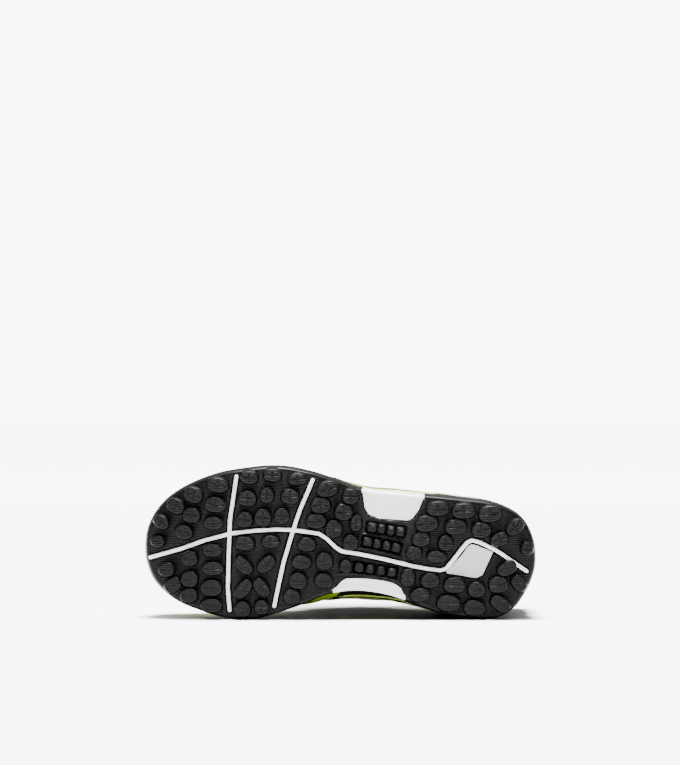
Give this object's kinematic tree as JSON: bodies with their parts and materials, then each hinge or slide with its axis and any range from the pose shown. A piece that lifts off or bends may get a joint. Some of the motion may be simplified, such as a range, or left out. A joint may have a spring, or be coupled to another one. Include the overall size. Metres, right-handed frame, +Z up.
{
  "type": "turf shoe",
  "caption": "Left turf football shoe, junior size, lying on its inner side: lugged rubber cup sole with pale ribs and plates, hollow padded upper, tongue and lace.",
  "frame": {"origin": "centre of the box's bottom face, on the floor that the shoe lies on", "axes": "+X from toe to heel, -Y out of the tread, +Z up; the shoe lies on its inner side"},
  "size_m": [0.2178, 0.092, 0.0846],
  "materials": {
    "outsole": "moulded black rubber, semi-gloss",
    "midsole": "white moulded foam, satin",
    "insole": "black knitted cover on foam",
    "upper": "coated synthetic leather, yellow-green in front and black behind",
    "tongue": "padded black mesh",
    "lace": "flat black woven lace"
  },
  "bodies": {
    "root": {"outsole": "outsole", "midsole": "midsole", "insole": "insole", "upper": "upper", "tongue": "tongue", "lace": "lace"}
  },
  "joints": []
}
